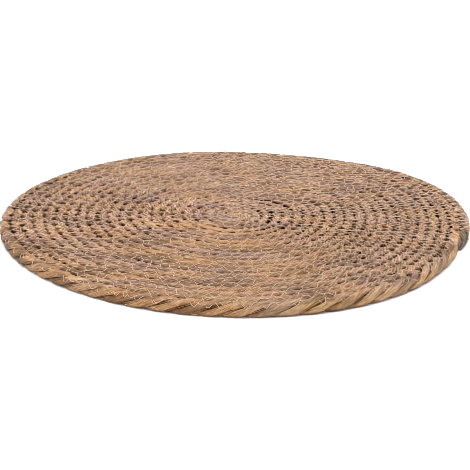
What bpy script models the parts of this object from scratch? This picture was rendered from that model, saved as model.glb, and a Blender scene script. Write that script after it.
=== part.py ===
"""Round coiled mat: one three-strand rush rope wound flat in a spiral, from the centre out.

Metres, +Z up. The mat lies flat on z = 0, with the middle of its outline over the origin.
The spiral winds outwards clockwise, seen from above, and the rope's end tapers onto the rim.
"""

import math

import bmesh
import bpy

# Driving sizes, in metres
RIM_RADIUS = 0.190  # from the coil's centre to the outer wall at the rope's end
PITCH = 0.0084  # from one turn to the next
TURN_GAP = 0.0005  # between neighbouring turns
ROPE_HEIGHT = 0.010
RIM_WIDTH = 0.0086  # the last turn is rounder, as nothing presses on its outer side
EYE_RADIUS = 0.0004  # the small hole that the rope's first turn curls round
TIP_WIDTH = 0.0016  # the rope's thin beginning, at the centre
END_WIDTH = 0.0014  # the rope's end, at the rim
END_HEIGHT = 0.0046
LAY = 0.0517  # length in which a strand goes once round the rope
BULGE = 0.00115  # how far the rope stands out just past the place that its own end covers
BULGE_LEAN = 0.6  # below 1 brings the top of that bulge nearer to its start
RIM_SWELL = 0.0004  # the rim's strands bulge this far above the other turns, and lie flat on the table below
COIL_CENTRE = (-0.00052, 0.00010)  # the coil's centre, from the middle of the mat's outline

# Angles, in degrees
END_ANGLE = -16.5  # where the rope ends, counter-clockwise from +X
RIM_TURN = 368.0  # stretch of the last turn that is built with its twist
RIM_SWELL_STRETCH = 8.0  # over which the last turn gets its rounder section
BULGE_STRETCH = 17.0  # the rope stands out for this long, from where its end no longer covers it
END_TAPER = 22.0  # stretch over which the rope's end narrows
TIP_CLOSE = 60.0  # stretch over which the first turn closes on the rope's beginning
TWIST_AT_END = 318.2  # how far the strands are turned at the rope's end
SHARP_ANGLE = 50.0  # edges sharper than this stay crisp

# Steps in each turn, up to this turn; they are in line from turn to turn, so that the gap stays even
PRESSED_STEPS = ((3.0, 16), (7.5, 24), (math.inf, 36))
RIM_STEPS = 219  # steps in the last turn
NOSE_STEPS = (0.60, 0.30, 0.12)  # more sections in the last step, at these shares from the end

# The mat is a little out of round: waves round the outline, cosine and sine, in metres at the rim
OUTLINE_WAVES = ((3, -0.0010, 0.0025), (4, -0.0005, 0.0016), (5, -0.0009, 0.0002))

# Uneven crown of the turns: waves in each turn, share of the height
CROWN_WAVES = ((2.3, 0.014), (5.7, 0.012), (9.4, 0.010))

# Section of a pressed turn: across in half widths, height in rope heights
PRESSED_SECTION = ((0.42, 0.0), (1.0, 0.42), (0.52, 1.0), (-0.52, 1.0), (-1.0, 0.42), (-0.42, 0.0))

# Section of one strand of the free twist: degrees from its middle, radius in half widths
STRAND_COUNT = 3
STRAND_SECTION = ((-60.0, 0.80), (-25.0, 1.0), (25.0, 1.0))

RUSH_COLOUR = (0.42, 0.27, 0.16, 1.0)
RUSH_ROUGHNESS = 0.72

TURN = 2.0 * math.pi
CIRCLE = 360.0  # degrees
ROUNDING = 1e-6
ROPE_WIDTH = PITCH - TURN_GAP
FIRST_EDGE = EYE_RADIUS + TIP_WIDTH + TURN_GAP / 2.0
TURNS = 1.0 + (RIM_RADIUS - RIM_WIDTH - TURN_GAP / 2.0 - FIRST_EDGE) / PITCH


def smooth_step(share):
    """0 to 1 with soft ends."""
    share = min(max(share, 0.0), 1.0)
    return share * share * (3.0 - 2.0 * share)


def mix(start, end, share):
    return start + (end - start) * share


def edge_radius(wound):
    """Middle of the gap outside the turn, after this many turns from the rope's beginning."""
    return FIRST_EDGE + PITCH * wound


def direction(wound):
    """Angle about the coil's centre: the spiral runs clockwise out to the rope's end."""
    return math.radians(END_ANGLE) + TURN * (TURNS - wound)


def out_of_round(angle):
    """Share by which the outline stands out or in at this angle."""
    waves = (c * math.cos(k * angle) + s * math.sin(k * angle) for k, c, s in OUTLINE_WAVES)
    return 1.0 + sum(waves) / RIM_RADIUS


def nose(left):
    """0 to 1 along the rope's rounded end, from the angle that is left to it."""
    share = min(max(left / END_TAPER, 0.0), 1.0)
    return math.sqrt(share * (2.0 - share))


def bulge(left):
    """How far the outer wall stands out where the last turn comes free of the rope's end."""
    share = min(max((CIRCLE - left) / BULGE_STRETCH, 0.0), 1.0)
    return BULGE * math.sin(math.pi * share**BULGE_LEAN)


def walls(wound):
    """Radius of the rope's inner and outer wall."""
    left = (TURNS - wound) * CIRCLE
    outer = edge_radius(wound) - TURN_GAP / 2.0
    if wound < 1.0:
        close = smooth_step(1.0 - (1.0 - wound) * CIRCLE / TIP_CLOSE)
        inner = mix(EYE_RADIUS, edge_radius(0.0) + TURN_GAP / 2.0, close)
    else:
        inner = edge_radius(wound - 1.0) + TURN_GAP / 2.0
    if left < CIRCLE:
        swell = smooth_step((CIRCLE - left) / RIM_SWELL_STRETCH)
        width = mix(ROPE_WIDTH, RIM_WIDTH, swell)
        width = mix(END_WIDTH, width, nose(left))
        outer = inner + width + bulge(left)
    return inner, outer


def crown(wound):
    """Height of the rope here, which is a little uneven."""
    waves = sum(share * math.sin(count * TURN * wound) for count, share in CROWN_WAVES)
    left = (TURNS - wound) * CIRCLE
    height = ROPE_HEIGHT * (1.0 + waves)
    return mix(END_HEIGHT, height, nose(left))


def place(angle, radius, height):
    """Point in the mat's frame from its angle and radius about the coil's centre."""
    radius *= out_of_round(angle)
    return (
        COIL_CENTRE[0] + radius * math.cos(angle),
        COIL_CENTRE[1] + radius * math.sin(angle),
        height,
    )


def pressed_ring(mesh, wound):
    """One section of a turn that its neighbours and the sewing hold in shape."""
    inner, outer = walls(wound)
    middle, half = (inner + outer) / 2.0, (outer - inner) / 2.0
    angle, height = direction(wound), crown(wound)
    return [
        mesh.verts.new(place(angle, middle + across * half, up * height))
        for across, up in PRESSED_SECTION
    ]


def twisted_ring(mesh, wound, twist):
    """One section of the free last turn: three strands, flat where the rope lies on the table."""
    inner, outer = walls(wound)
    middle, half = (inner + outer) / 2.0, (outer - inner) / 2.0
    middle_height = crown(wound) / 2.0
    half_height = middle_height + RIM_SWELL
    angle = direction(wound)
    ring = []
    for strand in range(STRAND_COUNT):
        for from_middle, reach in STRAND_SECTION:
            turned = twist + TURN * strand / STRAND_COUNT + math.radians(from_middle)
            across = middle + half * reach * math.cos(turned)
            up = middle_height + half_height * reach * math.sin(turned)
            ring.append(mesh.verts.new(place(angle, across, max(up, 0.0))))
    return ring


def ring_angle(vert, ring):
    """Angle of a ring's point about the ring's middle, in its own upright plane."""
    middle = sum((v.co for v in ring), start=vert.co * 0.0) / len(ring)
    outward = middle.to_2d().normalized()
    offset = vert.co - middle
    return math.atan2(offset.z, offset.to_2d().dot(outward))


def join_unlike(mesh, first, second):
    """Triangles between two rings with unlike numbers of points, matched by their angles."""
    first = sorted(first, key=lambda v: ring_angle(v, first))
    second = sorted(second, key=lambda v: ring_angle(v, second))
    turned_first = [ring_angle(v, first) for v in first]
    turned_second = [ring_angle(v, second) for v in second]
    turned_first.append(turned_first[0] + TURN)
    turned_second.append(turned_second[0] + TURN)
    a, b = 0, 0
    while a < len(first) or b < len(second):
        step_first = b == len(second) or (
            a < len(first) and turned_first[a + 1] <= turned_second[b + 1]
        )
        here, there = first[a % len(first)], second[b % len(second)]
        if step_first:
            a += 1
            mesh.faces.new((here, there, first[a % len(first)]))
        else:
            b += 1
            mesh.faces.new((here, there, second[b % len(second)]))


def join_like(mesh, first, second):
    """Quads between two rings with the same points."""
    count = len(first)
    for k in range(count):
        after = (k + 1) % count
        mesh.faces.new((first[k], second[k], second[after], first[after]))


def rim_start():
    """Winding at which the free last turn begins."""
    return TURNS - RIM_TURN / CIRCLE


def inner_places():
    """Windings of the pressed sections, from the rope's beginning to the free last turn."""
    half_step = 0.5 / PRESSED_STEPS[-1][1]
    places, wound = [], 0.0
    while wound < rim_start() - half_step:
        places.append(wound)
        steps = next(steps for up_to, steps in PRESSED_STEPS if wound < up_to - ROUNDING)
        wound += 1.0 / steps
    return places


def rim_places():
    """Windings of the twisted sections, out to the rope's end."""
    step = (TURNS - rim_start()) / RIM_STEPS
    even = [rim_start() + k * step for k in range(RIM_STEPS)]
    return even + [TURNS - share * step for share in NOSE_STEPS] + [TURNS]


def twist_at(wound):
    """Turn of the strands about the rope, from the length of rope left to its end."""
    radius_left = RIM_RADIUS - (RIM_WIDTH + PITCH * (TURNS - wound)) / 2.0
    length_left = (TURNS - wound) * TURN * radius_left
    return math.radians(TWIST_AT_END) + TURN * length_left / LAY


def rope_coil(material):
    """The whole rope as one closed solid."""
    mesh = bmesh.new()
    pressed = [pressed_ring(mesh, wound) for wound in inner_places()]
    twisted = [twisted_ring(mesh, wound, twist_at(wound)) for wound in rim_places()]
    for rings in (pressed, twisted):
        for first, second in zip(rings, rings[1:]):
            join_like(mesh, first, second)
    join_unlike(mesh, pressed[-1], twisted[0])
    mesh.faces.new(pressed[0])
    mesh.faces.new(twisted[-1])
    bmesh.ops.recalc_face_normals(mesh, faces=mesh.faces)
    data = bpy.data.meshes.new("rope_coil")
    mesh.to_mesh(data)
    mesh.free()
    data.shade_smooth()
    data.set_sharp_from_angle(angle=math.radians(SHARP_ANGLE))
    data.materials.append(material)
    return bpy.data.objects.new("rope_coil", data)


def rush():
    """Dull tan rush, twisted while damp."""
    material = bpy.data.materials.new("rush")
    material.use_nodes = True
    shader = material.node_tree.nodes["Principled BSDF"]
    shader.inputs["Base Color"].default_value = RUSH_COLOUR
    shader.inputs["Roughness"].default_value = RUSH_ROUGHNESS
    shader.inputs["Metallic"].default_value = 0.0
    return material


def main():
    for old in list(bpy.data.objects):
        bpy.data.objects.remove(old)
    collection = bpy.data.collections.new("coiled_rope_mat")
    bpy.context.scene.collection.children.link(collection)
    collection.objects.link(rope_coil(rush()))


main()
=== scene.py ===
"""Looks of the coiled rush mat: twisted strands of rope, sewing thread, floor, light and camera.

Lengths are in metres. The spiral repeats the sizes of the solid that it stands for.
"wound" counts the turns from the rope's beginning, at the centre, out to its end at the rim.
Directions are seen from above, from the mat's right side; its front is at minus a quarter turn.
A pair named ..._FROM or ..._UNTIL holds where a change starts or ends, and the range that it takes.
"""

import math

import bpy
import numpy as np
from mathutils import Matrix, Vector


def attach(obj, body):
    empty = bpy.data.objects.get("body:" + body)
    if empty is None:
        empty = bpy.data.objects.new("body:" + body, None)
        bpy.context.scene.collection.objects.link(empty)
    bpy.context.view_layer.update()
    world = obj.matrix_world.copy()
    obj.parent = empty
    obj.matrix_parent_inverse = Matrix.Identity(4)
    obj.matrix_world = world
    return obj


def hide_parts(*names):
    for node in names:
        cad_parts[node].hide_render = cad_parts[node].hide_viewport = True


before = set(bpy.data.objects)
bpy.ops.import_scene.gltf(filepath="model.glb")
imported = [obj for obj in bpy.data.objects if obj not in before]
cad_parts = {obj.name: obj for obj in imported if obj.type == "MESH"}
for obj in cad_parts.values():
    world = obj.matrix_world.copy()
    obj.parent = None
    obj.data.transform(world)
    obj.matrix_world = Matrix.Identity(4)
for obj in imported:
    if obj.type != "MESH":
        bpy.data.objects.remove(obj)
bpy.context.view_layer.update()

TURN = 2.0 * math.pi
CIRCLE = 360.0  # degrees
STRANDS = 3

# The spiral, as in the solid
RIM_RADIUS = 0.190
PITCH = 0.0084
TURN_GAP = 0.0005
ROPE_HEIGHT = 0.010
RIM_WIDTH = 0.0086
EYE_RADIUS = 0.0004
TIP_WIDTH = 0.0016
END_WIDTH = 0.0014
END_HEIGHT = 0.0046
LAY = 0.0517
BULGE = 0.00115
BULGE_LEAN = 0.6
RIM_SWELL = 0.0004
COIL_CENTRE = (-0.00052, 0.00010)
OUTLINE_WAVES = ((3, -0.0010, 0.0025), (4, -0.0005, 0.0016), (5, -0.0009, 0.0002))
CROWN_WAVES = ((2.3, 0.014), (5.7, 0.012), (9.4, 0.010))
FIRST_EDGE = EYE_RADIUS + TIP_WIDTH + TURN_GAP / 2.0
TURNS = 1.0 + (RIM_RADIUS - RIM_WIDTH - TURN_GAP / 2.0 - FIRST_EDGE) / PITCH

# Angles of the spiral, in degrees, as in the solid
END_ANGLE = -16.5
RIM_SWELL_STRETCH = 8.0
BULGE_STRETCH = 17.0
END_TAPER = 22.0
TIP_CLOSE = 60.0
TWIST_AT_END = 318.2

# Sides of the mat: direction in radians, how steeply a side fades in towards it, and its threshold
BEHIND = (TURN / 4.0, 1.5, 0.3)
IN_FRONT = (-TURN / 4.0, 1.5, 0.2)
ON_THE_LEFT = (TURN / 2.0, 4.0, 3.0)
BACK_RIGHT = (0.7, 1.5, 0.5)
RIGHT_OF_MIDDLE = (0.3, 2.5, 0.9)
FRONT_RIGHT = (-0.9, 1.0 / 0.35, 0.45 / 0.35)
THREAD_SUNK_SIDE = (-TURN / 4.0, 2.0, 0.0)
THREAD_RAISED_SIDE = (TURN / 4.0 - 0.4, 2.0, 0.0)

# Seeds of the random waves; each strand, leaf or point of a set has its own, counted from the first
KNOT_SEED, HOLE_SEED, RIM_KNOT_SEED = 11, 12, 13
PAINTED_SHADE_SEED = 45
SWAY_SEED, SLIT_SEED = 60, 61
SPOT_SEEDS = (77, 78, 79)
TINT_SEED = 80
LIFT_SEED, ROUGH_SEED = 400, 500
SHARED_GREY_SEED = 900
LEAF_SEED, STRAND_SEEDS, LEAF_SEEDS = 1000, 100, 10

RIPPLE_VALUES = 20000  # random values in one wave, more than any wave here uses
WOUND_PLACES = 24001  # places in the table of lengths along the spiral

# Rope surface
RIM_START = TURNS - 1.06  # here the bare rim turn takes over from the pressed rope
PRESSED_PARTS = (0.0, 11.0, 16.5, RIM_START)  # the pressed rope is three pieces
PRESSED_STEP = 0.0018
RIM_STEP = 0.0012
UNDER_ROOM = 0.0003  # the thread on the underside carries the rope this far off the table
CROSSING_POWER = 10.0  # a section's roundness: 2 is an ellipse, more is squarer
HOLE_POWER = 2.60
HOLE_POWER_SWING = -0.35
FREE_POWER = 2.15
FOOT_POWER = 1.0  # the rim's lower half is this much squarer, as the rope rests on the table
SHOULDER_OUT = 0.00080  # a shoulder leans out this far where the thread draws two turns together
SHOULDER_BACK = 0.00132  # and it stands back this far at a hole between two stitches, on average
SHOULDER_SWING = 0.00024  # a little more on the right side and less on the left
SHOULDER_STEEP, SHOULDER_START = 1.6, 0.1  # it leans more towards the rope's top and bottom
TIP_ROUND = 0.0012
TIP_THINNEST = 0.02
END_CLOSE = 0.0011  # the rope's end lies close against the turn inside it
SWAY = 0.00060  # the grooves waver this far to each side
SWAY_LENGTH = 0.015
SWAY_START = 0.5
SWAY_FADE = 8.0  # it ends before the last turn, within one turn divided by this
WANDER = ((0.06, 0.027, 40), (0.04, 0.011, 41))  # waves of the twist: radians, spacing and seed

# Holes and slits in the grooves
HOLE_LENGTH = 0.0026
HOLE_SIZES = (0.62, 1.20)
HOLE_AT_FRONT = 0.62  # the holes are smaller in front and behind than on the left and right
HOLE_AT_FRONT_FROM = (3.0, 4.0)
HOLE_AT_MIDDLE = 0.45
HOLE_FULL_FROM = (2.0, 4.0)
SLIT = 0.62  # right of the middle of the mat the grooves open in longer slits
SLIT_LENGTH = 0.016
SLIT_FROM = (1.2, 0.8)
SLIT_UNTIL = (6.5, 1.5)
SLIT_RANDOM, SLIT_WAVE, SLIT_WAVES = 2.0, 1.5, 2.0  # at random, and more often towards the back

# One strand across: degrees from its edge, and how far it lies below the rope's outline there.
# A strand is a bundle of leaves, which overlap like shingles, with a crease at each leaf's edge.
LEAVES = 4
LEAF_ANGLE = 30.0
PRESSED_STRAND = (
    (0.0, 0.190), (6.0, 0.020), (18.0, 0.030), (30.0, 0.140), (35.0, 0.000), (48.0, 0.022),
    (60.0, 0.145), (65.0, 0.000), (78.0, 0.020), (90.0, 0.140), (95.0, 0.006), (108.0, 0.044),
)
RIM_STRAND = (
    (0.0, 0.540), (2.5, 0.455), (5.0, 0.385), (10.0, 0.295), (17.0, 0.200), (24.0, 0.132),
    (29.0, 0.132), (31.5, 0.086), (35.0, 0.052), (42.0, 0.022), (50.0, 0.010), (57.0, 0.014),
    (60.0, 0.046), (62.5, 0.006), (66.0, 0.002), (73.0, 0.008), (81.0, 0.030), (87.0, 0.060),
    (90.0, 0.112), (92.5, 0.088), (97.0, 0.124), (104.0, 0.190), (111.0, 0.285), (116.5, 0.410),
)
RIM_LOBE = 0.35  # share by which the rim's outline draws in between two strands
CREASE_DROP = 0.04  # points of a strand that lie lower than this are in a crease
CREASE_ROUGH = 0.9
LEAF_ROUGH = 0.010
LEAF_LIFT = 0.016
LIFT_LENGTH = 0.013
ROUGH_LENGTH = 0.0055
RIM_ROUGH_LENGTH = 0.010

# Sewing thread
THREAD_RADIUS = 0.00028
THREAD_SIDES = 5
THREAD_STEP = 0.0014
STITCH_REACH = 0.0042  # from the middle of the groove to where the thread turns back
STITCH_STEP = 0.0101  # along the groove from one crossing to the next, on average round the mat
STITCH_SWING = 0.0020  # crossings are closer on the right side and wider apart on the left
STITCH_UNEVEN = 0.42
KNOT_UNEVEN = 0.0012
REACH_UNEVEN = 0.42
REACH_LIMIT = 0.97  # share of the way to the rope's outer wall
RIM_PACE = 0.72  # the extra thread on the last turn has closer crossings
RIM_BACK = 0.0036
RIM_REACH = 0.0076  # the outermost stitches come down over the shoulder of the last turn
RIM_REACH_UNEVEN = 0.08
CENTRE_STEP = 0.62  # near the centre the steps are this much of their size
CENTRE_TURNS = 5.0
FIRST_STITCH = 0.42
LAST_STITCH = TURNS - 1.015
CROSSING_SHARE = (0.90, 0.42)  # share of a step in which the thread crosses, on the right and left
CROSSING_UNEVEN = (0.45, 1.25)
CROSSING_LEAST = 0.16
RIM_CROSSING_LEAST = 0.8
CROWN_LIMIT = 0.999
THREAD_ABOVE = 0.00022
THREAD_DIP = 0.0005  # the thread dips no further than this into a groove
THREAD_OVER_RIM = 0.0004
THREAD_ROLL, THREAD_ROLL_LENGTH, THREAD_ROLL_SEED = 0.00018, 0.009, 5
KNOT_DIP, KNOT_LENGTH = 0.00030, 0.10
HIDDEN, HIDDEN_WAVE, HIDDEN_IN_FRONT = 0.8, 1.6, 1.3  # between its crossings the thread sinks in
HIDDEN_LENGTH, HIDDEN_SEED = 0.010, 7
RAISED = 0.85  # behind, the thread sinks this much less
RAISED_BACK_RIGHT = 0.00016
CROSSING_START = 1.6  # from the groove, in quarters of the pitch
THICK_WAVE, THICK_LENGTH, THICK_SEED = 0.15, 0.003, 6
THICK_BACK_RIGHT = 0.32
THIN_IN_FRONT = 0.14

# Patches of colour over the mat
PATCH_WAVES = 14
PATCH_WIDTHS = (0.045, 0.110)
PATCH_DEPTHS = (0.018, 0.050)
PATCH_CALM = 3.6  # the sum of the waves over this is about -1 to 1
TINT = (0.04, 0.085, 0.200)  # powers of e by which a grey patch gains red, green and blue
TINT_RANGE = (-1.3, 1.4)
TINT_PATCHES = 0.75
GREY_MIDDLE = (0.004, 0.006)
GREY_MIDDLE_UNTIL = (0.055, 0.025)
GREY_MIDDLE_TINT = 1.1
GREY_BEHIND = 3.0  # for each metre towards the back
GREY_FRONT_RIGHT = 0.9
GREY_RIGHT_FROM = (0.06, 0.05)
GREY_FRONT_UNTIL = (-0.05, 0.05)
WARM_MIDDLE = (0.0, -0.045)
WARM_MIDDLE_UNTIL = (0.085, 0.04)
WARM_MIDDLE_TINT = 0.8
WARM_DEPTH = 1.6  # the warm area is this much narrower from front to back

# Colours, as linear values
TAN = (0.462, 0.290, 0.177)
ORANGE = (0.472, 0.266, 0.142)
STRAW = (0.496, 0.361, 0.196)
PINK = (0.482, 0.284, 0.216)
BROWN = (0.250, 0.138, 0.074)
MAUVE = (0.322, 0.205, 0.158)
PAINTED_SHADE = (0.160, 0.128, 0.100)  # painted shade on the outer side of the rim, behind and before the rope's end
FRONT = (0.435, 0.264, 0.150)
FRONT_DULL = (0.280, 0.182, 0.124)
THREAD = (0.560, 0.390, 0.282)
THREAD_WORN = (0.82, 0.79, 0.76)  # share of that colour where the thread is worn
FLOOR_WHITE = (0.96, 0.96, 0.96, 1.0)

# Colours of the leaves; a pair ..._SHARE holds the sewn rope's value and its bare side's
LEAF_LENGTHS = (0.050, 0.042, 0.037, 0.030, 0.014, 0.009)  # hue, straw, pink, mauve, grey and shade
SHARED_GREY_LENGTH = 0.070
OWN_GREY, SHARED_GREY = 0.7, 0.4
LIGHT_STEEP, LIGHT_START = 1.5, 0.5
STRAW_SHARE, STRAW_SPOTS = (0.8, 0.2), 0.7
PINK_SHARE, PINK_SPOTS = (0.7, 0.3), 0.9
GREY_STEEP, GREY_SPOTS = 1.4, 0.75
GREY_STRAND, GREY_STRAND_BIAS, GREY_BIAS = 0, -0.06, -0.31  # one strand of the three is greyer
RIM_GREY = 0.92
RIM_MAUVE = 0.18
RIM_SHADE = 0.83
SHADE_SHARE = (0.30, 0.12)

# Colours of the rim, with painted shade; the angles are in degrees past the place that the rope's
# end covers
# Before the rope's end the bare side turns to mauve: grey rush, darkened with painted shade
BEFORE_END = 0.7
BEFORE_END_FROM = (250.0, 30.0)
BEFORE_END_SHADE = 0.66
STRAW_PAST_END, STRAW_UNTIL = 0.75, (13.0, 5.0)
FAINT_STRAW_PAST_END, FAINT_STRAW_UNTIL = 0.30, (85.0, 30.0)
BARE_IN_FRONT, BARE_BEHIND, BARE_AT_END = 0.60, -0.15, -0.30  # how far out the bare side begins
BARE_EDGE = 0.22
# On the left the bare side takes the sewn rope's colours, with painted shade, and the rim's top
# gets painted shade too
LEFT_BARE, LEFT_BARE_SHADE = 0.92, (0.66, 0.70, 0.76)
LEFT_PAINTED_SHADE = (0.20, 0.16, 0.09)
FRONT_RIGHT_DARKER = (0.26, 0.215, 0.13)
# Painted shade on the rim's outer side, behind and before the rope's end, broken into patches
PAINTED_SHADE_EVEN, PAINTED_SHADE_WAVE, PAINTED_SHADE_LENGTH = 0.72, 0.28, 0.014
PAINTED_SHADE_AT_END = 1.4
PAINTED_SHADE_FROM = (-0.55, 0.40)

# Light and shade painted into the rope's colour, and other changes to its colour
FRONT_EVEN = 0.48  # the sewn turns in front are this much closer to one colour
FRONT_DULL_START, FRONT_DULL_SPOTS = 0.42, 0.9
# Painted shade on the sewn turns in front
FRONT_PAINTED_SHADE = 0.07
MIDDLE_LIGHTER = 0.16
MIDDLE_UNTIL = (0.095, 0.05)
LEAF_EDGE_DROP = 0.021  # points of a strand that lie no deeper are the raised edges of leaves
# Painted highlight on the raised edges of leaves, and painted shade on the rest of each leaf
LEAF_EDGE_HIGHLIGHT = (1.01, 1.03, 1.10)
LEAF_BODY_SHADE = (0.90, 0.87, 0.83)
RIM_SHINE = (0.97, 0.955, 0.92)
DEEPEN = 0.98  # painted shade: share of the light that the deepest creases and grooves lose
DEEPEN_POWER = (1.0, 1.44, 1.80)  # a crease turns redder as it darkens
DARK_FROM_SIDE, DARK_FROM_FRONT = 0.00045, 0.0016  # depth at which painted shade starts in a groove
DARK_FRONT_FROM = (4.0, 5.0)
DARK_BACK_RIGHT = 0.6
DARK_SLIT = 0.00050
DARK_DEPTH = 0.0006
DARK_CLOSED, DARK_OPEN = 0.06, 2.1
DARK_WALL = 1.5
# Painted shade in the creases between leaves and strands
CREASE_DARK, CREASE_DARK_RIM = 0.80, 0.64
CREASE_START = 0.050
CREASE_DEPTH, CREASE_DEPTH_RIM = 0.120, 0.080
CREASE_FRONT = 0.62  # creases are this much fainter in front and behind
# Painted shade low on the rim's outer side, near the table
FOOT_PAINTED_SHADE, FOOT_HEIGHT = 0.36, 0.0034
STREAK_IN_FRONT, STREAK_SWING = 0.45, 0.15

# Materials: scales of the noise along and across a strand, and pairs of low and high values
STREAK_POWER = (1.0, 1.12, 1.30)  # dark streaks are redder and light ones paler
STREAK_SCALE, STREAK_NOISE = (150.0, 1080.0, 1.0), (0.36, 0.64)
BLOTCH_SCALE, BLOTCH_NOISE, BLOTCH = (300.0, 700.0, 1.0), (0.30, 0.70), (0.66, 1.30)
FINE_SCALE, FINE_NOISE, RUSH_ROUGHNESS = (260.0, 5200.0, 1.0), (0.3, 0.7), (0.52, 0.78)
RUSH_STREAKS, RUSH_RIDGES = (0.54, 1.36), 0.75
RIM_STREAKS, RIM_RIDGES = (0.84, 1.12), 0.35
RUSH_GLOSS = 0.08
RIDGE_HEIGHT = 0.0005
PLY_SCALE, PLY_UNEVEN = 300.0, 0.6
PLY_STRENGTH, PLY_HEIGHT = 0.5, 0.0002
WORN_SCALE, WORN_NOISE = (55.0, 300.0, 1.0), (0.32, 0.62)
THREAD_ROUGHNESS, THREAD_GLOSS = 0.8, 0.25
FLOOR_ROUGHNESS, FLOOR_GLOSS = 0.9, 0.1

# Floor and light
FLOOR_HALF = 3.0
FLOOR_HEIGHT = -0.0001
SKY_STRENGTH = 0.93
SUN_STRENGTH = 2.6
SUN_ANGLE = 50.0
SUN_TURN = (10.0, -5.0, 0.0)

# Camera, fitted to the photograph
VIEW_RANGE = 1.0
VIEW_ELEVATION = math.radians(19.342)
VIEW_ROLL = math.radians(-0.735)
IMAGE_SIZE = 470.0
FOCAL_PIXELS = 1247.4
AXIS_PIXEL = (235.45, 226.33)
SENSOR = 36.0
PIXEL_FILTER = 0.6


def smooth_step(share):
    """0 to 1 with soft ends."""
    share = np.clip(share, 0.0, 1.0)
    return share * share * (3.0 - 2.0 * share)


def rise(value, start, over):
    """0 to 1 as the value grows past the start."""
    return smooth_step((value - start) / over)


def fall(value, end, over):
    """1 to 0 as the value grows up to the end."""
    return smooth_step((end - value) / over)


def mix(start, end, share):
    return start + (end - start) * share


def facing(angle, side):
    """0 to 1 on one side of the mat."""
    towards, steep, threshold = side
    return smooth_step(steep * np.cos(angle - towards) - threshold)


def ripple(where, spacing, seed):
    """Smooth random wave between -1 and 1, with a new value at each spacing."""
    values = np.random.default_rng(seed).uniform(-1.0, 1.0, RIPPLE_VALUES)
    span = where / spacing
    base = np.floor(span).astype(int)
    return mix(values[base], values[base + 1], smooth_step(span - base))


def ripples(where, spacing, first_seed, count):
    return np.array([ripple(where, spacing, first_seed + k) for k in range(count)])


def edge_radius(wound):
    """Middle of the groove outside this winding."""
    return FIRST_EDGE + PITCH * wound


def direction(wound):
    """Angle about the coil's centre: the spiral runs clockwise out to the rope's end."""
    return math.radians(END_ANGLE) + TURN * (TURNS - wound)


def out_of_round(angle):
    """Share by which the outline stands out or in at this angle."""
    waves = sum(c * np.cos(k * angle) + s * np.sin(k * angle) for k, c, s in OUTLINE_WAVES)
    return 1.0 + waves / RIM_RADIUS


def nose(left):
    """0 to 1 along the rope's rounded end, from the angle that is left to it."""
    share = np.clip(left / END_TAPER, 0.0, 1.0)
    return np.sqrt(share * (2.0 - share))


def bulge(left):
    """How far the outer wall stands out where the last turn comes free of the rope's end."""
    share = np.clip((CIRCLE - left) / BULGE_STRETCH, 0.0, 1.0)
    return BULGE * np.sin(math.pi * share ** BULGE_LEAN)


def length_along(radius):
    """Length along a spiral up to each place of the table."""
    steps = (radius[1:] + radius[:-1]) / 2.0 * TURN * np.diff(WOUND)
    return np.concatenate([[0.0], np.cumsum(steps)])


WOUND = np.linspace(0.0, TURNS, WOUND_PLACES)
GROOVE_LENGTH = length_along(edge_radius(WOUND))


def groove_at(wound):
    """Length along the groove outside this winding."""
    return np.interp(wound, WOUND, GROOVE_LENGTH)


def sway(wound):
    """How far the groove outside this winding wavers from the even spiral."""
    settled = smooth_step(wound - SWAY_START) * smooth_step((TURNS - 1.0 - wound) * SWAY_FADE)
    return SWAY * ripple(groove_at(wound), SWAY_LENGTH, SWAY_SEED) * settled


def walls(wound):
    """Radius of the rope's inner and outer wall."""
    left = (TURNS - wound) * CIRCLE
    close = smooth_step(1.0 - (1.0 - wound) * CIRCLE / TIP_CLOSE)
    first_inner = mix(EYE_RADIUS, edge_radius(0.0) + TURN_GAP / 2.0, close)
    before = edge_radius(wound - 1.0) + TURN_GAP / 2.0
    swell = smooth_step((CIRCLE - left) / RIM_SWELL_STRETCH)
    width = mix(PITCH - TURN_GAP, RIM_WIDTH, swell)
    width = mix(END_WIDTH, width, nose(left))
    pressed_outer = edge_radius(wound) - TURN_GAP / 2.0 + sway(wound)
    outer = np.where(left < CIRCLE, before + width + bulge(left), pressed_outer)
    inner = np.where(wound < 1.0, first_inner, before + sway(wound - 1.0))
    return inner, outer


ROPE_LENGTH = length_along(sum(walls(WOUND)) / 2.0)


def crown(wound):
    """Height of the rope, which is a little uneven."""
    waves = sum(share * np.sin(count * TURN * wound) for count, share in CROWN_WAVES)
    left = (TURNS - wound) * CIRCLE
    return mix(END_HEIGHT, ROPE_HEIGHT * (1.0 + waves), nose(left))


def place(angle, radius, height):
    """Points in the mat's frame from their angle and radius about the coil's centre."""
    radius = radius * out_of_round(angle)
    x = COIL_CENTRE[0] + radius * np.cos(angle)
    y = COIL_CENTRE[1] + radius * np.sin(angle)
    return np.stack(np.broadcast_arrays(x, y, height), -1)


def twist_at(wound):
    """Turn of the strands about the rope, from the length of rope left to its end."""
    radius_left = RIM_RADIUS - (RIM_WIDTH + PITCH * (TURNS - wound)) / 2.0
    length_left = (TURNS - wound) * TURN * radius_left
    return math.radians(TWIST_AT_END) + TURN * length_left / LAY


def stitch_knots(seed, start, end, pace):
    """Places along the groove where the thread turns back, each one step after the last."""
    rng = np.random.default_rng(seed)
    here, last = groove_at(start), groove_at(end)
    places = []
    while here < last:
        places.append(here)
        wound = np.interp(here, GROOVE_LENGTH, WOUND)
        step = STITCH_STEP - STITCH_SWING * math.cos(direction(wound))
        step *= mix(CENTRE_STEP, 1.0, smooth_step(wound / CENTRE_TURNS))
        here += pace * step * (1.0 + STITCH_UNEVEN * rng.uniform(-1.0, 1.0))
    return np.array(places)


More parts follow.
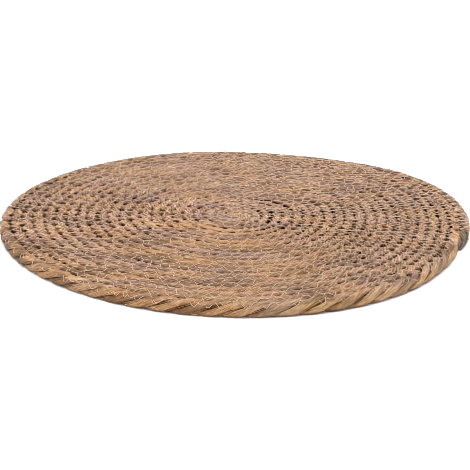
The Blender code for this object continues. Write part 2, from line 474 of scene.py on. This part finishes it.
KNOTS = stitch_knots(KNOT_SEED, FIRST_STITCH, LAST_STITCH, 1.0)
RIM_KNOTS = stitch_knots(RIM_KNOT_SEED, TURNS - 2.0, LAST_STITCH, RIM_PACE)
HOLES = np.random.default_rng(HOLE_SEED).uniform(*HOLE_SIZES, len(KNOTS))

# Each thread: name, seed, knots, first side, how far it sinks, above or not, reach inwards
THREADS = (
    ("thread_top_a", 21, KNOTS, 1.0, 0.00045, True, STITCH_REACH),
    ("thread_top_b", 22, KNOTS, -1.0, 0.0008, True, STITCH_REACH),
    ("thread_rim", 23, RIM_KNOTS, 1.0, 0.0005, True, -RIM_BACK),
    ("thread_under", 31, KNOTS, 1.0, 0.0, False, STITCH_REACH),
)


def slit(wound):
    """0 to 1 where the groove outside this winding opens in a long slit."""
    angle = direction(wound)
    near = rise(wound, *SLIT_FROM) * fall(wound, *SLIT_UNTIL)
    uneven = SLIT_RANDOM * ripple(groove_at(wound), SLIT_LENGTH, SLIT_SEED)
    uneven = uneven + SLIT_WAVE * np.sin(SLIT_WAVES * angle)
    return near * facing(angle, RIGHT_OF_MIDDLE) * smooth_step(uneven)


def opening(wound):
    """1 at a hole of the groove outside this winding, 0 where the groove is closed."""
    along = groove_at(wound)
    nearest = np.rint(np.interp(along, KNOTS, np.arange(len(KNOTS)))).astype(int)
    hole = HOLES[nearest] * np.exp(-(((along - KNOTS[nearest]) / HOLE_LENGTH) ** 2))
    in_front = np.sin(direction(wound)) ** 2 * rise(wound, *HOLE_AT_FRONT_FROM)
    hole = hole * mix(1.0, HOLE_AT_FRONT, in_front)
    hole = hole * mix(HOLE_AT_MIDDLE, 1.0, rise(wound, *HOLE_FULL_FROM))
    hole = np.maximum(hole, SLIT * slit(wound))
    return np.where((along > KNOTS[0]) & (along < KNOTS[-1]), hole, 0.0)


def each(values):
    """One value for each section, shaped for all its points and colour channels."""
    return values[:, None, None]


def patches(x, y, seed):
    """Smooth spots over the mat, about -1 to 1, where leaves of one colour come together."""
    rng = np.random.default_rng(seed)
    total = 0.0
    for _ in range(PATCH_WAVES):
        way, phase = rng.uniform(0.0, TURN, 2)
        along_x = math.cos(way) / rng.uniform(*PATCH_WIDTHS)
        along_y = math.sin(way) / rng.uniform(*PATCH_DEPTHS)
        total = total + np.sin(TURN * (x * along_x + y * along_y) + phase)
    return total / PATCH_CALM


def tint(x, y):
    """How grey the rush is here: greyest in the middle of the mat, and warmest in front of it."""
    from_middle = np.hypot(x - GREY_MIDDLE[0], y - GREY_MIDDLE[1])
    from_warm = np.hypot(x - WARM_MIDDLE[0], WARM_DEPTH * (y - WARM_MIDDLE[1]))
    grey = TINT_PATCHES * patches(x, y, TINT_SEED) + GREY_BEHIND * y
    grey = grey + GREY_MIDDLE_TINT * fall(from_middle, *GREY_MIDDLE_UNTIL)
    grey = grey - WARM_MIDDLE_TINT * fall(from_warm, *WARM_MIDDLE_UNTIL)
    grey = grey + GREY_FRONT_RIGHT * rise(x, *GREY_RIGHT_FROM) * fall(y, *GREY_FRONT_UNTIL)
    return np.clip(grey, *TINT_RANGE)


def leaf_tones(here, spots, rim):
    """Colour of each leaf along the rope: rim is 0 for the sewn rope and 1 for its bare side."""
    tan, orange, straw, pink, brown, mauve = (
        np.array(colour) for colour in (TAN, ORANGE, STRAW, PINK, BROWN, MAUVE)
    )
    grey_spots, pale_spots, rosy_spots = spots
    shared_grey = SHARED_GREY * ripple(here, SHARED_GREY_LENGTH, SHARED_GREY_SEED)[:, None]
    tones = np.empty((STRANDS, LEAVES, len(here), 3))
    for strand in range(STRANDS):
        is_grey = strand == GREY_STRAND
        for leaf in range(LEAVES):
            seed = LEAF_SEED + STRAND_SEEDS * strand + LEAF_SEEDS * leaf
            hue, pale, rosy, cold, own_grey, shade = (
                ripple(here, spacing, seed + k)[:, None] for k, spacing in enumerate(LEAF_LENGTHS)
            )
            tone = mix(tan, orange, 0.5 + 0.5 * hue)
            paler = smooth_step(LIGHT_STEEP * pale + STRAW_SPOTS * pale_spots - LIGHT_START)
            tone = mix(tone, straw, mix(*STRAW_SHARE, rim) * paler)
            rosier = smooth_step(LIGHT_STEEP * rosy + PINK_SPOTS * rosy_spots - LIGHT_START)
            tone = mix(tone, pink, mix(*PINK_SHARE, rim) * rosier)
            greyness = OWN_GREY * own_grey + shared_grey + GREY_SPOTS * grey_spots
            bias = GREY_STRAND_BIAS if is_grey else GREY_BIAS
            sewn_grey = smooth_step(0.5 + GREY_STEEP * (greyness + bias))
            dull = mix(mix(brown, mauve, 0.5 + 0.5 * cold), mix(brown, mauve, RIM_MAUVE), rim)
            tone = mix(tone, dull, mix(sewn_grey, RIM_GREY if is_grey else 0.0, rim))
            shade = 1.0 + mix(*SHADE_SHARE, rim) * shade
            tones[strand, leaf] = tone * mix(1.0, RIM_SHADE, rim) * shade
    return tones


class Stretch:
    """A stretch of the rope: its sections along it, and the points round each section."""

    def __init__(self, start, end, is_rim):
        step, strand_points = (RIM_STEP, RIM_STRAND) if is_rim else (PRESSED_STEP, PRESSED_STRAND)
        first, final = np.interp((start, end), WOUND, ROPE_LENGTH)
        self.is_rim = is_rim
        self.here = np.linspace(first, final, int((final - first) / step) + 1)
        self.wound = np.interp(self.here, ROPE_LENGTH, WOUND)
        self.angle = direction(self.wound)
        left = (TURNS - self.wound) * CIRCLE
        self.past_end = CIRCLE - left
        self.free = smooth_step(self.past_end / RIM_SWELL_STRETCH)
        self.inner, self.outer = walls(self.wound)
        self.inner = self.inner - END_CLOSE * smooth_step((END_TAPER * 2.0 - left) / END_TAPER)
        self.height = crown(self.wound)

        self.local, self.drops = (np.tile(column, STRANDS) for column in zip(*strand_points))
        self.strand = np.repeat(np.arange(STRANDS), len(strand_points))
        self.leaf = (self.local / LEAF_ANGLE).astype(int)
        wander = sum(size * ripple(self.here, spacing, seed) for size, spacing, seed in WANDER)
        psi = (twist_at(self.wound) + wander)[:, None]
        psi = psi + np.radians(CIRCLE / STRANDS * (self.strand - 0.5) + self.local)[None, :]
        self.across, self.up = np.cos(psi), np.sin(psi)

        # Each point faces the groove outside or inside its turn: how sewn and how open that is
        self.outside = self.across > 0.0
        self.open_out, self.open_in = opening(self.wound), opening(self.wound - 1.0)
        self.sewn = np.where(self.outside, 1.0 - self.free[:, None], 1.0)
        hole = np.where(self.outside, self.open_out[:, None], self.open_in[:, None])
        self.hole = hole * self.sewn


def crease_drops(rope):
    """How far each point lies below the rope's outline, with the leaves' rough edges."""
    spacing = RIM_ROUGH_LENGTH if rope.is_rim else ROUGH_LENGTH
    lift = ripples(rope.here, LIFT_LENGTH, LIFT_SEED, STRANDS * LEAVES)
    rough = ripples(rope.here, spacing, ROUGH_SEED, len(rope.local))
    drop = rope.drops[:, None]
    creased = drop * (1.0 + CREASE_ROUGH * rough)
    drop = np.where(drop > CREASE_DROP, creased, drop + LEAF_ROUGH * (1.0 + rough))
    return (drop + LEAF_LIFT * (1.0 + lift[rope.strand * LEAVES + rope.leaf])).T


def section_powers(rope):
    """Squareness of the section at each point: squarest where the turns are drawn together."""
    hole_power = HOLE_POWER + HOLE_POWER_SWING * np.cos(rope.angle)
    power_out = mix(mix(CROSSING_POWER, hole_power, rope.open_out), FREE_POWER, rope.free)
    power_in = mix(CROSSING_POWER, hole_power, rope.open_in)
    power = np.where(rope.outside, power_out[:, None], power_in[:, None])
    return np.where(rope.up < 0.0, power + FOOT_POWER * rope.free[:, None], power)


def rope_rings(rope, drop):
    """Points round each section of the rope."""
    across, up = rope.across, rope.up
    top = rope.height + RIM_SWELL * rope.free
    bottom = UNDER_ROOM * (1.0 - rope.free)
    half_height = ((top - bottom) / 2.0)[:, None]
    half_width = ((rope.outer - rope.inner) / 2.0)[:, None]
    power = section_powers(rope)
    reach = (np.abs(across) / half_width) ** power + (np.abs(up) / half_height) ** power
    reach = reach ** (-1.0 / power) * (1.0 - drop)
    from_tips = np.minimum(rope.here - ROPE_LENGTH[0], ROPE_LENGTH[-1] - rope.here)
    tip = np.clip(from_tips / TIP_ROUND, 0.0, 1.0)
    reach *= np.sqrt(np.clip(tip * (2.0 - tip), TIP_THINNEST, 1.0))[:, None]

    back = (SHOULDER_BACK + SHOULDER_SWING * np.cos(rope.angle))[:, None]
    lean = mix(SHOULDER_OUT, -back, rope.hole) * rope.sewn * across
    lean = lean * smooth_step(np.abs(up) * SHOULDER_STEEP - SHOULDER_START)
    radius = ((rope.inner + rope.outer) / 2.0)[:, None] + reach * across + lean
    z = np.maximum(((top + bottom) / 2.0)[:, None] + reach * up, 0.0)
    return place(rope.angle[:, None], radius, z)


def rim_tones(rope, tones, bare_tones):
    """Colour of the rope with the bare outer side of its last turn and painted shade on the rim,
    and how much painted shade darkens the rim's outer side.
    """
    free, past_end = rope.free, rope.past_end
    # Before the rope's end the bare side turns grey, darkened with painted shade
    before_end = BEFORE_END * rise(past_end, *BEFORE_END_FROM)
    bare_tones = mix(bare_tones, BEFORE_END_SHADE * np.array(MAUVE), each(before_end))
    straw = STRAW_PAST_END * smooth_step(past_end) * fall(past_end, *STRAW_UNTIL)
    faint_straw = FAINT_STRAW_PAST_END * smooth_step(past_end) * fall(past_end, *FAINT_STRAW_UNTIL)
    bare_tones = mix(bare_tones, np.array(STRAW), each(np.maximum(straw, faint_straw)))

    # On the left: the sewn rope's colours with painted shade on the bare side, and painted shade on
    # the rim's top
    left = facing(rope.angle, ON_THE_LEFT)
    bare_tones = mix(bare_tones, tones * np.array(LEFT_BARE_SHADE), LEFT_BARE * each(left))
    left_top_shade = each(free * (1.0 - before_end) * left)
    tones = tones * (1.0 - left_top_shade * np.array(LEFT_PAINTED_SHADE))
    front_right_top = each(free * facing(rope.angle, FRONT_RIGHT))
    tones = tones * (1.0 - front_right_top * np.array(FRONT_RIGHT_DARKER))

    behind = facing(rope.angle, BEHIND)
    bare_from = mix(mix(BARE_IN_FRONT, BARE_BEHIND, behind), BARE_AT_END, before_end)[:, None]
    bare = free[:, None] * rise(rope.across, bare_from, BARE_EDGE)
    # Painted shade on the outer side of the rim, behind and before the rope's end
    away = np.maximum(behind, PAINTED_SHADE_AT_END * before_end)[:, None]
    patchy = PAINTED_SHADE_EVEN + PAINTED_SHADE_WAVE * ripple(rope.here, PAINTED_SHADE_LENGTH, PAINTED_SHADE_SEED)[:, None]
    painted_shade = patchy * away * free[:, None] * rise(rope.across, *PAINTED_SHADE_FROM)
    return mix(tones, bare_tones, bare[..., None]), painted_shade


def darkness(rope, drop, z):
    """Painted shade: share of the light that each point's colour loses, down in the grooves, in the
    creases and low on the rim's outer side.
    """
    angle, sewn, free = rope.angle, rope.sewn, rope.free[:, None]
    from_side = np.sin(angle) ** 2 * rise(rope.wound, *DARK_FRONT_FROM)
    from_side = from_side * (1.0 - DARK_BACK_RIGHT * facing(angle, BACK_RIGHT))
    slits = np.where(rope.outside, slit(rope.wound)[:, None], slit(rope.wound - 1.0)[:, None])
    dark_from = mix(DARK_FROM_SIDE, DARK_FROM_FRONT, from_side[:, None]) - DARK_SLIT * slits
    # Painted shade down in the grooves and holes
    below = np.minimum(rope.height[:, None] - z, z)
    deep = rise(below, dark_from, DARK_DEPTH) * sewn
    deep = deep * mix(DARK_CLOSED, 1.0, smooth_step(DARK_OPEN * rope.hole))
    deep = deep * smooth_step(np.abs(rope.across) * DARK_WALL)

    # Painted shade in the creases
    half_strand = CIRCLE / STRANDS / 2.0
    lobe = RIM_LOBE * np.abs(rope.local / half_strand - 1.0) ** 2 * rope.is_rim
    crease = rise(drop - lobe, CREASE_START, mix(CREASE_DEPTH, CREASE_DEPTH_RIM, free))
    crease = crease * mix(CREASE_DARK, CREASE_DARK_RIM, free)
    crease = crease * (1.0 - CREASE_FRONT * sewn * np.sin(angle[:, None]) ** 2)
    # Painted shade low on the rim's outer side, near the table
    foot = FOOT_PAINTED_SHADE * fall(z, FOOT_HEIGHT, FOOT_HEIGHT) * free * rope.outside
    return np.clip(np.maximum(deep, np.maximum(crease, foot)), 0.0, 1.0)


def rope_tones(rope, drop, z):
    """Colour of each point of the rope, with painted highlights and painted shade."""
    x, y, _ = place(rope.angle, (rope.inner + rope.outer) / 2.0, 0.0).T
    spots = [patches(x, y, seed)[:, None] for seed in SPOT_SEEDS]
    tones, bare_tones = (
        leaf_tones(rope.here, spots, rim)[rope.strand, rope.leaf].transpose(1, 0, 2)
        for rim in (0.0, 1.0)
    )
    tones, painted_shade = rim_tones(rope, tones, bare_tones)

    in_front = each(facing(rope.angle, IN_FRONT) * (1.0 - rope.free))
    dull = smooth_step(FRONT_DULL_START + FRONT_DULL_SPOTS * spots[0])
    front_tone = mix(np.array(FRONT), np.array(FRONT_DULL), dull)[:, None]
    tones = mix(tones, front_tone, FRONT_EVEN * in_front)
    # Painted shade on the sewn turns in front
    tones = tones * (1.0 - FRONT_PAINTED_SHADE * in_front)
    tones = tones * (1.0 + MIDDLE_LIGHTER * each(fall(np.hypot(x, y), *MIDDLE_UNTIL)))
    # Painted shade on the rim's outer side
    tones = mix(tones, np.array(PAINTED_SHADE), painted_shade[..., None])

    # Painted highlight on the raised leaf edges and painted shade on the rest of each leaf
    edge = (rope.drops < LEAF_EDGE_DROP)[:, None]
    leaf_light_and_shade = np.where(edge, np.array(LEAF_EDGE_HIGHLIGHT), np.array(LEAF_BODY_SHADE))
    tones = tones * (RIM_SHINE if rope.is_rim else leaf_light_and_shade)
    tones = tones * np.exp(each(tint(x, y)) * np.array(TINT))
    # Painted shade in the grooves, creases and at the rim's foot
    dark = darkness(rope, drop, z)[..., None]
    return tones * (1.0 - DEEPEN * dark) ** np.array(DEEPEN_POWER)


def skin(name, rings, around, along, tones, material):
    """Closed tube through rings of points, with its lengths as UVs and colours as an attribute."""
    count, sides = rings.shape[:2]
    ends = np.stack([rings[0].mean(0), rings[-1].mean(0)])
    points = np.concatenate([rings.reshape(-1, 3), ends])
    station, side = np.meshgrid(np.arange(count - 1), np.arange(sides), indexing="ij")
    beside = (side + 1) % sides
    quads = np.stack([
        station * sides + side, station * sides + beside,
        (station + 1) * sides + beside, (station + 1) * sides + side,
    ], -1).reshape(-1, 4)
    first, last = count * sides, count * sides + 1
    far = (count - 1) * sides
    neighbours = [(a, (a + 1) % sides) for a in range(sides)]
    caps = [(first, b, a) for a, b in neighbours]
    caps += [(last, far + a, far + b) for a, b in neighbours]
    mesh = bpy.data.meshes.new(name)
    mesh.from_pydata(points.tolist(), [], quads.tolist() + caps)

    u, u_next = along[station], along[station + 1]
    v, v_next = around[:-1][side], around[1:][side]
    quad_uv = np.stack([
        np.stack([u, v], -1), np.stack([u, v_next], -1),
        np.stack([u_next, v_next], -1), np.stack([u_next, v], -1),
    ], -2).reshape(-1, 2)
    cap_uv = np.zeros((len(caps) * 3, 2))
    layer = mesh.uv_layers.new(name="fibre")
    layer.uv.foreach_set("vector", np.concatenate([quad_uv, cap_uv]).astype(np.float32).ravel())
    if tones is not None:
        values = np.ones((len(points), 4), np.float32)
        values[:, :3] = np.concatenate([tones.reshape(-1, 3), tones[0, :1], tones[-1, :1]])
        colours = mesh.attributes.new("tone", "FLOAT_COLOR", "POINT")
        colours.data.foreach_set("color", values.ravel())
    mesh.shade_smooth()
    mesh.materials.append(material)
    piece = bpy.data.objects.new(name, mesh)
    bpy.context.collection.objects.link(piece)
    return piece


def add_streaks(piece, rope):
    """How strong the fine streaks are at each point: weaker in front, and stronger on the right."""
    in_front = facing(rope.angle, IN_FRONT) * (1.0 - rope.free)
    strength = 1.0 - STREAK_IN_FRONT * in_front + STREAK_SWING * np.cos(rope.angle)
    strength = np.append(np.repeat(strength, len(rope.local)), (1.0, 1.0))
    streaks = piece.data.attributes.new("streak", "FLOAT", "POINT")
    streaks.data.foreach_set("value", strength.astype(np.float32))


def add_rope(name, start, end, is_rim, material):
    """A stretch of the rope, with rings of points that turn with its strands."""
    rope = Stretch(start, end, is_rim)
    drop = crease_drops(rope)
    rings = rope_rings(rope, drop)
    tones = rope_tones(rope, drop, rings[..., 2])
    turned = np.append(CIRCLE / STRANDS * rope.strand + rope.local, CIRCLE)
    around = np.radians(turned) * ROPE_HEIGHT / 2.0
    piece = skin(name, rings, around, rope.here, tones, material)
    add_streaks(piece, rope)
    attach(piece, "root")
    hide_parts("rope_coil")


def zigzag(seed, places, first_side, back):
    """Length along the groove, how far across it the thread is, and how near a knot in steps."""
    rng = np.random.default_rng(seed)
    count = len(places)
    knots = places + KNOT_UNEVEN * rng.uniform(-1.0, 1.0, count)
    side = first_side * (-1.0) ** np.arange(count)
    wound = np.interp(knots, GROOVE_LENGTH, WOUND)
    at_rim = wound > TURNS - 2.0
    uneven = rng.uniform(-1.0, 1.0, count)
    reach = np.where(side > 0.0, STITCH_REACH, -back) * (1.0 + REACH_UNEVEN * uneven)
    rim_reach = RIM_REACH * (1.0 + RIM_REACH_UNEVEN * uneven)
    reach = np.where((side > 0.0) & at_rim, rim_reach, reach)
    to_left = 0.5 - 0.5 * np.cos(direction(wound))
    crossing = mix(*CROSSING_SHARE, to_left) * rng.uniform(*CROSSING_UNEVEN, count)
    crossing = np.clip(crossing, CROSSING_LEAST, 1.0)
    crossing = np.where(at_rim, np.maximum(crossing, RIM_CROSSING_LEAST), crossing)

    along = np.linspace(knots[0], knots[-1], int((knots[-1] - knots[0]) / THREAD_STEP))
    phase = np.interp(along, knots, np.arange(count))
    base = np.clip(np.floor(phase).astype(int), 0, count - 2)
    share = (phase - base - 0.5) / crossing[base] + 0.5
    swing = mix(np.clip(share, 0.0, 1.0), smooth_step(share), 0.5)
    lateral = mix(reach[base], reach[base + 1], swing)
    return along, lateral, np.minimum(phase - base, base + 1.0 - phase)


def over_crowns(wound, lateral):
    """The thread's place across the groove, its height there, and the rope's height."""
    beyond = np.minimum(wound + 1.0, TURNS)
    lateral = np.minimum(lateral, REACH_LIMIT * (walls(beyond)[1] - edge_radius(wound)))
    height = mix(crown(wound), crown(beyond), smooth_step(0.5 + lateral / PITCH))
    off_crown = np.clip(np.abs(np.abs(lateral) - PITCH / 2.0) / (PITCH / 2.0), 0.0, CROWN_LIMIT)
    on_rim = (lateral > 0.0) & (wound > TURNS - 2.0)
    past_crown = on_rim & (lateral > PITCH / 2.0)
    power = np.where(on_rim, FREE_POWER, CROSSING_POWER)
    z = height / 2.0 * (1.0 + (1.0 - off_crown ** power) ** (1.0 / power))
    z = np.where(past_crown, z, np.maximum(z, height - THREAD_DIP)) + THREAD_ABOVE
    lateral = lateral + np.where(past_crown, THREAD_OVER_RIM * off_crown, 0.0)
    return lateral, z, height


def tube(path, thick):
    """Rings of points round a path."""
    ahead = np.gradient(path, axis=0)
    ahead /= np.linalg.norm(ahead, axis=1)[:, None]
    beside = np.cross(ahead, (0.0, 0.0, 1.0))
    beside /= np.linalg.norm(beside, axis=1)[:, None]
    above = np.cross(beside, ahead)
    turn = np.linspace(0.0, TURN, THREAD_SIDES, endpoint=False)[None, :, None]
    offset = np.cos(turn) * beside[:, None] + np.sin(turn) * above[:, None]
    return path[:, None] + offset * each(thick)


def add_thread(name, seed, places, first_side, sunk, top, back, material):
    """Sewing thread that swings across the groove from crown to crown, and dips at its knots."""
    along, lateral, to_knot = zigzag(seed, places, first_side, back)
    wound = np.interp(along, GROOVE_LENGTH, WOUND)
    angle = direction(wound)
    lateral, z, height = over_crowns(wound, lateral)

    in_front = facing(angle, THREAD_SUNK_SIDE)
    shown = facing(angle, BACK_RIGHT)
    wave = HIDDEN_WAVE * ripple(along, HIDDEN_LENGTH, seed + HIDDEN_SEED)
    hidden = smooth_step(HIDDEN + wave + HIDDEN_IN_FRONT * in_front)
    hidden = hidden * (1.0 - RAISED * facing(angle, THREAD_RAISED_SIDE)) * (1.0 - shown)
    crossing = smooth_step(CROSSING_START - np.abs(lateral) / (PITCH / 4.0))
    z = z + RAISED_BACK_RIGHT * shown - KNOT_DIP * smooth_step(1.0 - to_knot / KNOT_LENGTH)
    z = z + THREAD_ROLL * ripple(along, THREAD_ROLL_LENGTH, seed + THREAD_ROLL_SEED)
    z = z - sunk * hidden * (1.0 - crossing)
    if not top:
        z = np.maximum(height - z + UNDER_ROOM, THREAD_RADIUS)

    path = place(angle, edge_radius(wound) + sway(wound) + lateral, z)
    wave = THICK_WAVE * ripple(along, THICK_LENGTH, seed + THICK_SEED)
    thick = 1.0 + wave + THICK_BACK_RIGHT * shown * top - THIN_IN_FRONT * in_front
    around = np.linspace(0.0, TURN * THREAD_RADIUS, THREAD_SIDES + 1)
    length = np.concatenate([[0.0], np.cumsum(np.linalg.norm(np.diff(path, axis=0), axis=1))])
    piece = skin(name, tube(path, THREAD_RADIUS * thick), around, length, None, material)
    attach(piece, "root")
    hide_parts("rope_coil")


def new_material(name, gloss):
    material = bpy.data.materials.new(name)
    material.use_nodes = True
    shader = material.node_tree.nodes["Principled BSDF"]
    shader.inputs["Specular IOR Level"].default_value = gloss
    return material, material.node_tree, shader


def scaled_uv(tree, scale):
    uv = tree.nodes.new("ShaderNodeUVMap")
    uv.uv_map = "fibre"
    mapping = tree.nodes.new("ShaderNodeMapping")
    mapping.inputs["Scale"].default_value = scale
    tree.links.new(uv.outputs["UV"], mapping.inputs["Vector"])
    return mapping.outputs["Vector"]


def noise(tree, scale, detail, rough):
    node = tree.nodes.new("ShaderNodeTexNoise")
    node.inputs["Scale"].default_value = 1.0
    node.inputs["Detail"].default_value = detail
    node.inputs["Roughness"].default_value = rough
    tree.links.new(scaled_uv(tree, scale), node.inputs["Vector"])
    return node.outputs["Fac"]


def spread(tree, value, before, after):
    """The value moved from one pair of low and high values to another."""
    node = tree.nodes.new("ShaderNodeMapRange")
    names = ("From Min", "From Max", "To Min", "To Max")
    for socket, number in zip(names, (*before, *after)):
        node.inputs[socket].default_value = number
    tree.links.new(value, node.inputs["Value"])
    return node.outputs["Result"]


def read_attribute(tree, name, output):
    node = tree.nodes.new("ShaderNodeAttribute")
    node.attribute_name = name
    return node.outputs[output]


def combine(tree, operation, first, second, kind="ShaderNodeMath"):
    """Result of an operation; the second input is a socket or a number."""
    node = tree.nodes.new(kind)
    node.operation = operation
    tree.links.new(first, node.inputs[0])
    if isinstance(second, float):
        node.inputs[1].default_value = second
    else:
        tree.links.new(second, node.inputs[1])
    return node.outputs[0]


def add_bumps(tree, shader, height, strength, distance):
    bump = tree.nodes.new("ShaderNodeBump")
    bump.inputs["Strength"].default_value = strength
    bump.inputs["Distance"].default_value = distance
    tree.links.new(height, bump.inputs["Height"])
    tree.links.new(bump.outputs["Normal"], shader.inputs["Normal"])


def rush_material(name, streak_range, ridges):
    """Rush: the leaves' colours, with fine streaks along each leaf that darken and lighten them."""
    material, tree, shader = new_material(name, RUSH_GLOSS)
    streaks = noise(tree, STREAK_SCALE, detail=1.0, rough=0.5)
    fine = noise(tree, FINE_SCALE, detail=2.0, rough=0.5)
    blotch = noise(tree, BLOTCH_SCALE, detail=3.0, rough=0.6)
    light = spread(tree, streaks, STREAK_NOISE, streak_range)
    light = combine(tree, "MULTIPLY", light, spread(tree, blotch, BLOTCH_NOISE, BLOTCH))
    strength = read_attribute(tree, "streak", "Fac")
    channels = tree.nodes.new("ShaderNodeCombineXYZ")
    for socket, power in zip(channels.inputs, STREAK_POWER):
        exponent = combine(tree, "MULTIPLY", strength, power)
        tree.links.new(combine(tree, "POWER", light, exponent), socket)
    tone = read_attribute(tree, "tone", "Color")
    colour = combine(tree, "MULTIPLY", tone, channels.outputs["Vector"], "ShaderNodeVectorMath")
    tree.links.new(colour, shader.inputs["Base Color"])
    tree.links.new(spread(tree, fine, FINE_NOISE, RUSH_ROUGHNESS), shader.inputs["Roughness"])
    add_bumps(tree, shader, combine(tree, "ADD", streaks, fine), ridges, RIDGE_HEIGHT)
    return material


def thread_material():
    """Pale twisted thread, a little worn."""
    material, tree, shader = new_material("thread", THREAD_GLOSS)
    ramp = tree.nodes.new("ShaderNodeValToRGB")
    worn_colour = [full * share for full, share in zip(THREAD, THREAD_WORN)]
    for element, position, colour in zip(
        ramp.color_ramp.elements, WORN_NOISE, (worn_colour, THREAD)
    ):
        element.position = position
        element.color = (*colour, 1.0)
    tree.links.new(noise(tree, WORN_SCALE, detail=3.0, rough=0.6), ramp.inputs["Fac"])
    tree.links.new(ramp.outputs["Color"], shader.inputs["Base Color"])
    shader.inputs["Roughness"].default_value = THREAD_ROUGHNESS
    ply = tree.nodes.new("ShaderNodeTexWave")
    ply.bands_direction = "DIAGONAL"
    ply.inputs["Scale"].default_value = PLY_SCALE
    ply.inputs["Distortion"].default_value = PLY_UNEVEN
    tree.links.new(scaled_uv(tree, (1.0, 1.0, 1.0)), ply.inputs["Vector"])
    add_bumps(tree, shader, ply.outputs["Fac"], PLY_STRENGTH, PLY_HEIGHT)
    return material


def floor_material():
    material, _, shader = new_material("floor", FLOOR_GLOSS)
    shader.inputs["Base Color"].default_value = FLOOR_WHITE
    shader.inputs["Roughness"].default_value = FLOOR_ROUGHNESS
    return material


def add_camera():
    back = Vector((0.0, -math.cos(VIEW_ELEVATION), math.sin(VIEW_ELEVATION)))
    right = Vector((1.0, 0.0, 0.0))
    up = back.cross(right)
    turned_right = right * math.cos(VIEW_ROLL) - up * math.sin(VIEW_ROLL)
    turned_up = right * math.sin(VIEW_ROLL) + up * math.cos(VIEW_ROLL)
    data = bpy.data.cameras.new("camera")
    data.sensor_width = SENSOR
    data.lens = FOCAL_PIXELS * SENSOR / IMAGE_SIZE
    data.shift_x = (IMAGE_SIZE / 2.0 - AXIS_PIXEL[0]) / IMAGE_SIZE
    data.shift_y = (AXIS_PIXEL[1] - IMAGE_SIZE / 2.0) / IMAGE_SIZE
    camera = bpy.data.objects.new("camera", data)
    turned = Matrix((turned_right, turned_up, back)).transposed().to_4x4()
    place_of_camera = Vector((*COIL_CENTRE, 0.0)) + back * VIEW_RANGE
    camera.matrix_world = Matrix.Translation(place_of_camera) @ turned
    bpy.context.collection.objects.link(camera)
    bpy.context.scene.camera = camera


def add_light():
    world = bpy.data.worlds.new("studio")
    world.use_nodes = True
    background = world.node_tree.nodes["Background"]
    background.inputs["Color"].default_value = (1.0, 1.0, 1.0, 1.0)
    background.inputs["Strength"].default_value = SKY_STRENGTH
    bpy.context.scene.world = world
    data = bpy.data.lights.new("softbox", "SUN")
    data.energy = SUN_STRENGTH
    data.angle = math.radians(SUN_ANGLE)
    lamp = bpy.data.objects.new("softbox", data)
    lamp.rotation_euler = [math.radians(angle) for angle in SUN_TURN]
    bpy.context.collection.objects.link(lamp)


def add_floor():
    mesh = bpy.data.meshes.new("floor")
    corners = ((-1.0, -1.0), (1.0, -1.0), (1.0, 1.0), (-1.0, 1.0))
    points = [(x * FLOOR_HALF, y * FLOOR_HALF, FLOOR_HEIGHT) for x, y in corners]
    mesh.from_pydata(points, [], [(0, 1, 2, 3)])
    mesh.materials.append(floor_material())
    floor = bpy.data.objects.new("floor", mesh)
    bpy.context.collection.objects.link(floor)


add_camera()
rush = rush_material("rush", RUSH_STREAKS, RUSH_RIDGES)
rim_rush = rush_material("rim_rush", RIM_STREAKS, RIM_RIDGES)
sewing = thread_material()
PRESSED_NAMES = ("rope_inner", "rope_middle", "rope_outer")
for name, start, end in zip(PRESSED_NAMES, PRESSED_PARTS, PRESSED_PARTS[1:]):
    add_rope(name, start, end, False, rush)
add_rope("rope_rim", RIM_START, TURNS, True, rim_rush)
for settings in THREADS:
    add_thread(*settings, sewing)
add_light()
add_floor()
bpy.context.scene.view_settings.view_transform = "Standard"
bpy.context.scene.cycles.filter_width = PIXEL_FILTER
